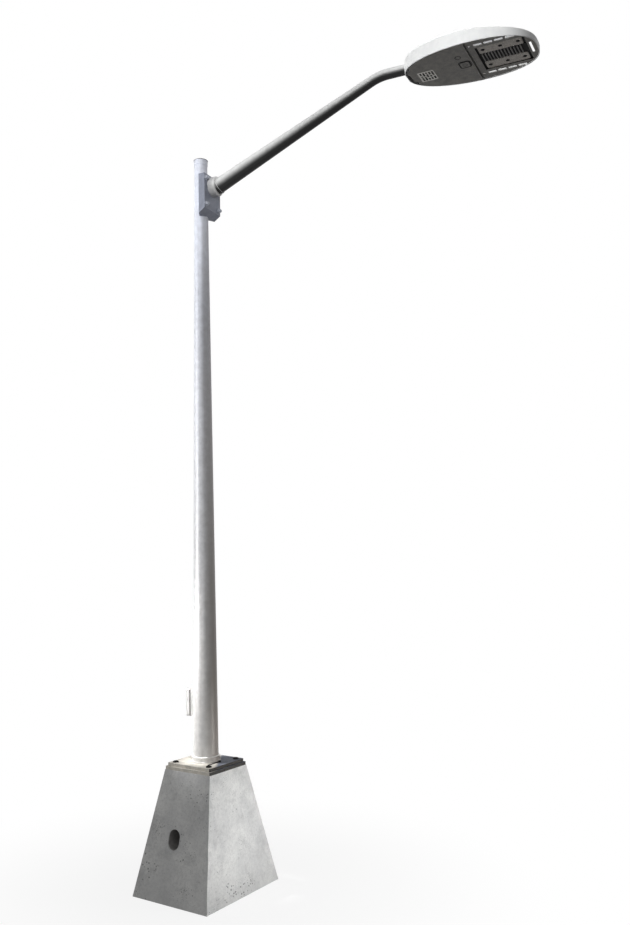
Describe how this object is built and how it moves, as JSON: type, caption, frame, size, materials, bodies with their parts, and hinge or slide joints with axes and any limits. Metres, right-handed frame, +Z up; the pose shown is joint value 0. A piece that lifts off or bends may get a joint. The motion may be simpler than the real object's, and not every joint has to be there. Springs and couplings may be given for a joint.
{
  "type": "street light pole",
  "caption": "Street light on a tapered concrete block: tapered round pole, bolted bracket, rising arm and flat teardrop luminaire with a drop-down door.",
  "frame": {"origin": "on the ground under the pole's axis, at the bottom of the concrete block", "axes": "+Z up along the pole, +X the way the arm and luminaire point, +Y to the left of the arm"},
  "size_m": [2.5775, 0.822, 5.12],
  "materials": {
    "concrete": "cast concrete, matt",
    "base_plate": "hot-dip zinc with cream lime bloom",
    "dark_bolt": "blackened steel",
    "pole_metal": "satin silver-grey coat",
    "bracket_metal": "satin blue-grey coat",
    "bolt_zinc": "zinc plated",
    "arm_metal": "satin",
    "housing_white": "white powder coat",
    "under_dark": "dark grey powder coat",
    "lamp_strip": "speckled warm grey lens plate",
    "black_metal": "matt black",
    "heat_sink": "raw cast",
    "plate_print": "printed plate",
    "terminal": "ivory plastic"
  },
  "bodies": {
    "structure": {"concrete_base": "concrete", "levelling_plate": "base_plate", "flange_plate": "base_plate", "anchor_bolt_1": "dark_bolt", "anchor_bolt_2": "dark_bolt", "anchor_bolt_3": "dark_bolt", "anchor_bolt_4": "dark_bolt", "bond_strap": "dark_bolt", "foot_collar": "pole_metal", "pole_shaft": "pole_metal", "hand_hole_frame": "pole_metal", "hand_hole_cover": "pole_metal", "cover_screw_top": "bolt_zinc", "cover_screw_bottom": "bolt_zinc", "pole_cap": "bracket_metal", "bracket": "bracket_metal", "bracket_bolt_1": "bolt_zinc", "bracket_bolt_2": "bolt_zinc", "bracket_bolt_3": "bolt_zinc", "bracket_bolt_4": "bolt_zinc", "arm_stub": "arm_metal", "arm_tube": "arm_metal", "arm_tenon": "arm_metal", "side_rim": "housing_white", "roof": "housing_white", "bulkhead": "under_dark", "bottom_frame": "under_dark", "heat_sink": "heat_sink", "lamp_tray": "black_metal", "lamp_strip_left": "lamp_strip", "lamp_strip_right": "lamp_strip", "channel_ribs": "under_dark", "strip_screws_left": "black_metal", "strip_screws_right": "black_metal", "tip_baffle": "black_metal", "clamp_screw_1": "bolt_zinc", "clamp_screw_2": "bolt_zinc", "driver_box": "heat_sink", "terminal_block": "terminal", "hinge_pin": "bolt_zinc"},
    "door": {"access_door": "under_dark", "door_latch": "under_dark", "rating_plate": "plate_print"}
  },
  "joints": [
    {"name": "door_hinge", "type": "hinge", "parent": "structure", "child": "door", "pos_m": [1.482, 0, 5.027], "axis": [0, 1, 0], "range_deg": [0, 80]}
  ]
}
